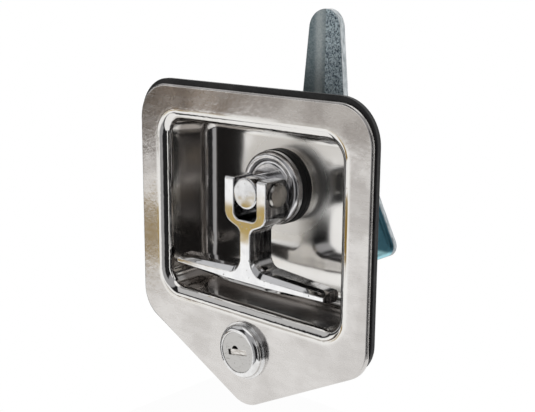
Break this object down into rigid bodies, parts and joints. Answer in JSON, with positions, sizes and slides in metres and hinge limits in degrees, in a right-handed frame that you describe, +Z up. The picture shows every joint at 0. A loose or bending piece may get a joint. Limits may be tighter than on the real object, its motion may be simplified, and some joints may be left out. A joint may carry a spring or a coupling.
{
  "type": "t-handle latch",
  "caption": "Flush folding T-handle latch: stainless pan with pointed foot, cylinder lock, rear cam arm with locking lobe and a rim gasket.",
  "frame": {"origin": "on the spindle's axis, in the plane where the rim gasket meets the door", "axes": "+X to the right seen from the front, +Y into the door along the spindle, +Z up towards the cam arm's tip at rest"},
  "size_m": [0.1154, 0.0653, 0.1485],
  "materials": {
    "pan_stainless": "satin rolled stainless with a mirror-bright drawn pan",
    "gasket_rubber": "matt black",
    "bushing_steel": "turned bright",
    "tooth_washer_steel": "zinc plated",
    "bushing_nut_zinc": "zinc plated",
    "seal_rubber": "satin black",
    "lock_housing_chrome": "nickel plated casting",
    "bezel_stainless": "polished",
    "lock_nut_zinc": "zinc plated",
    "spindle_chrome": "bright plated",
    "o_ring_rubber": "greased black",
    "pin_steel": "turned bright",
    "cup_stainless": "polished",
    "stop_washer_steel": "zinc plated",
    "cam_zinc": "blue zinc plate with faint spangle",
    "cam_washer_zinc": "zinc plated",
    "spring_washer_steel": "zinc plated",
    "cam_nut_zinc": "zinc plated",
    "handle_chrome": "bright chrome plated casting",
    "plug_chrome": "worn bright plate",
    "wafer_brass": "stamped",
    "wafer_spring_steel": "drawn wire",
    "pawl_zinc": "zinc plated",
    "pawl_washer_steel": "zinc plated",
    "pawl_screw_zinc": "zinc plated",
    "shutter_steel": "polished"
  },
  "bodies": {
    "pan": {"face_pan": "pan_stainless", "rim_gasket": "gasket_rubber", "spindle_bushing": "bushing_steel", "bushing_tooth_washer": "tooth_washer_steel", "bushing_nut": "bushing_nut_zinc", "seal_ring": "seal_rubber", "lock_housing": "lock_housing_chrome", "lock_bezel": "bezel_stainless", "lock_nut": "lock_nut_zinc"},
    "spindle": {"spindle": "spindle_chrome", "spindle_o_ring": "o_ring_rubber", "pivot_pin": "pin_steel", "cup_washer": "cup_stainless", "stop_washer": "stop_washer_steel", "cam_arm": "cam_zinc", "cam_washer": "cam_washer_zinc", "cam_spring_washer": "spring_washer_steel", "cam_nut": "cam_nut_zinc"},
    "handle": {"t_handle": "handle_chrome"},
    "lock_core": {"lock_plug": "plug_chrome", "lock_wafers": "wafer_brass", "wafer_springs": "wafer_spring_steel", "lock_pawl": "pawl_zinc", "pawl_washer": "pawl_washer_steel", "pawl_screw": "pawl_screw_zinc"},
    "shutter": {"dust_shutter": "shutter_steel"}
  },
  "joints": [
    {"name": "handle_turn", "type": "hinge", "parent": "pan", "child": "spindle", "pos_m": [0, 0, 0], "axis": [0, 1, 0], "range_deg": [0, 90]},
    {"name": "handle_fold", "type": "hinge", "parent": "spindle", "child": "handle", "pos_m": [0, 0.0023, 0], "axis": [-1, 0, 0], "range_deg": [0, 90]},
    {"name": "lock_turn", "type": "hinge", "parent": "pan", "child": "lock_core", "pos_m": [0, 0, -0.0605], "axis": [0, 1, 0], "range_deg": [0, 90]},
    {"name": "shutter_swing", "type": "hinge", "parent": "lock_core", "child": "shutter", "pos_m": [0.00027, -0.0066, -0.06203], "axis": [-0.9848, 0, -0.1736], "range_deg": [0, 70], "stiffness_Nm_per_rad": 0.0002, "springref_deg": -17.19}
  ],
  "couplings": [
    {"joint": "handle_fold", "follows": "handle_turn", "ratio": 1}
  ]
}
